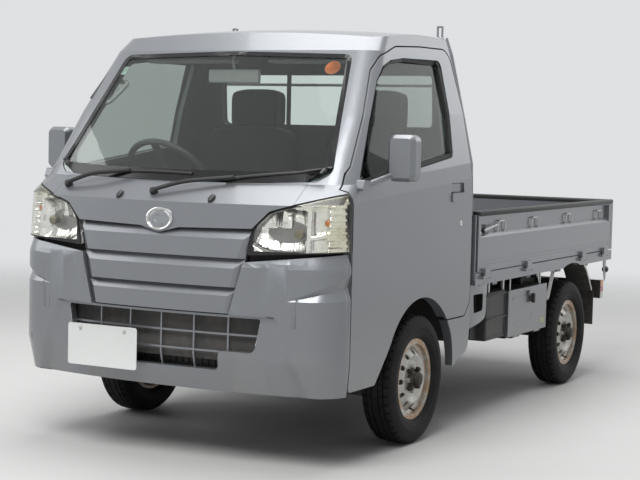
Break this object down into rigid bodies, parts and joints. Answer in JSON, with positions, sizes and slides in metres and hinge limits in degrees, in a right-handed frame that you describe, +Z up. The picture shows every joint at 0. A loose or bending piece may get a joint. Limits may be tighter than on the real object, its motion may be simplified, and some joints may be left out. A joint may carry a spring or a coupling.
{
  "type": "kei truck",
  "caption": "Small cab-over flatbed truck with two doors, fold-down bed sides and tail gate, steering front wheels, a guard frame behind the cab and a battery box under the bed.",
  "frame": {"origin": "centre of the footprint on the ground: middle of the overall box in plan, at tyre contact height", "axes": "+X to the vehicle's left, +Y to its rear, +Z up; the front looks along -Y"},
  "size_m": [1.753, 3.3906, 1.765],
  "materials": {
    "body_paint": "silver metallic",
    "trim_black": "matt",
    "window_glass": "clear",
    "lamp_lens": "aged clear",
    "lamp_bowl": "bright",
    "rear_lens": "gloss",
    "chassis_black": "satin",
    "wheel_steel": "satin with rust",
    "tyre_rubber": "matt",
    "flap_rubber": "matt",
    "engine_metal": "cast",
    "pipe_metal": "dull",
    "cabin_plastic": "grained",
    "seat_cloth": "woven",
    "cabin_paint": "satin"
  },
  "bodies": {
    "body": {"cab_shell": "body_paint", "windscreen": "window_glass", "rear_window": "window_glass", "front_panel": "body_paint", "grille": "body_paint", "front_bumper": "body_paint", "headlamp_bowls": "lamp_bowl", "headlamp_lenses": "lamp_lens", "cab_floor": "cabin_paint", "seats": "seat_cloth", "dashboard": "cabin_plastic", "wipers": "trim_black", "front_suspension": "chassis_black", "chassis_frame": "chassis_black", "engine_block": "engine_metal", "rear_axle": "chassis_black", "leaf_springs": "chassis_black", "exhaust": "pipe_metal", "bed_floor": "body_paint", "bed_guard": "body_paint", "battery_box": "trim_black", "fuel_tank": "chassis_black", "mudguards": "flap_rubber", "tail_lamps": "rear_lens"},
    "door_left": {"door_left": "body_paint", "door_glass_left": "window_glass", "mirror_left": "body_paint"},
    "door_right": {"door_right": "body_paint", "door_glass_right": "window_glass", "mirror_right": "body_paint"},
    "side_gate_left": {"side_gate_left": "body_paint", "gate_cap_left": "trim_black"},
    "side_gate_right": {"side_gate_right": "body_paint", "gate_cap_right": "trim_black"},
    "tail_gate": {"tail_gate": "body_paint", "gate_cap_tail": "trim_black"},
    "battery_lid": {"battery_lid": "body_paint"},
    "knuckle_left": {"knuckle_left": "chassis_black"},
    "knuckle_right": {"knuckle_right": "chassis_black"},
    "steering_wheel": {"steering_wheel": "cabin_plastic"},
    "wheel_front_left": {"tyre_front_left": "tyre_rubber", "rim_front_left": "wheel_steel"},
    "wheel_front_right": {"tyre_front_right": "tyre_rubber", "rim_front_right": "wheel_steel"},
    "wheel_rear_left": {"tyre_rear_left": "tyre_rubber", "rim_rear_left": "wheel_steel"},
    "wheel_rear_right": {"tyre_rear_right": "tyre_rubber", "rim_rear_right": "wheel_steel"}
  },
  "joints": [
    {"name": "door_left_hinge", "type": "hinge", "parent": "body", "child": "door_left", "pos_m": [0.7315, -1.4765, 0.8], "axis": [0, 0, -1], "range_deg": [0, 65]},
    {"name": "door_right_hinge", "type": "hinge", "parent": "body", "child": "door_right", "pos_m": [-0.7315, -1.4765, 0.8], "axis": [0, 0, 1], "range_deg": [0, 65]},
    {"name": "side_gate_left_hinge", "type": "hinge", "parent": "body", "child": "side_gate_left", "pos_m": [0.7465, 0.6725, 0.648], "axis": [0, 1, 0], "range_deg": [0, 175]},
    {"name": "side_gate_right_hinge", "type": "hinge", "parent": "body", "child": "side_gate_right", "pos_m": [-0.7465, 0.6725, 0.648], "axis": [0, -1, 0], "range_deg": [0, 175]},
    {"name": "tail_gate_hinge", "type": "hinge", "parent": "body", "child": "tail_gate", "pos_m": [0, 1.6905, 0.648], "axis": [-1, 0, 0], "range_deg": [0, 175]},
    {"name": "battery_lid_hinge", "type": "hinge", "parent": "body", "child": "battery_lid", "pos_m": [0.695, 0.4965, 0.3217], "axis": [0, 1, 0], "range_deg": [0, 90]},
    {"name": "steer_left", "type": "hinge", "parent": "body", "child": "knuckle_left", "pos_m": [0.548, -0.8275, 0.268], "axis": [0, 0, 1], "range_deg": [-33, 33]},
    {"name": "steer_right", "type": "hinge", "parent": "body", "child": "knuckle_right", "pos_m": [-0.548, -0.8275, 0.268], "axis": [0, 0, 1], "range_deg": [-33, 33]},
    {"name": "steering_wheel_turn", "type": "hinge", "parent": "body", "child": "steering_wheel", "pos_m": [-0.31, -1.1575, 1.085], "axis": [0, 0.766, 0.6428], "range_deg": [-528, 528]},
    {"name": "wheel_front_left_spin", "type": "hinge", "parent": "knuckle_left", "child": "wheel_front_left", "pos_m": [0.6525, -0.8275, 0.268], "axis": [1, 0, 0], "continuous": true},
    {"name": "wheel_rear_left_spin", "type": "hinge", "parent": "body", "child": "wheel_rear_left", "pos_m": [0.65, 1.0725, 0.268], "axis": [1, 0, 0], "continuous": true},
    {"name": "wheel_front_right_spin", "type": "hinge", "parent": "knuckle_right", "child": "wheel_front_right", "pos_m": [-0.6525, -0.8275, 0.268], "axis": [1, 0, 0], "continuous": true},
    {"name": "wheel_rear_right_spin", "type": "hinge", "parent": "body", "child": "wheel_rear_right", "pos_m": [-0.65, 1.0725, 0.268], "axis": [1, 0, 0], "continuous": true}
  ],
  "couplings": [
    {"joint": "steer_right", "follows": "steer_left", "ratio": 1},
    {"joint": "steering_wheel_turn", "follows": "steer_left", "ratio": 16}
  ]
}
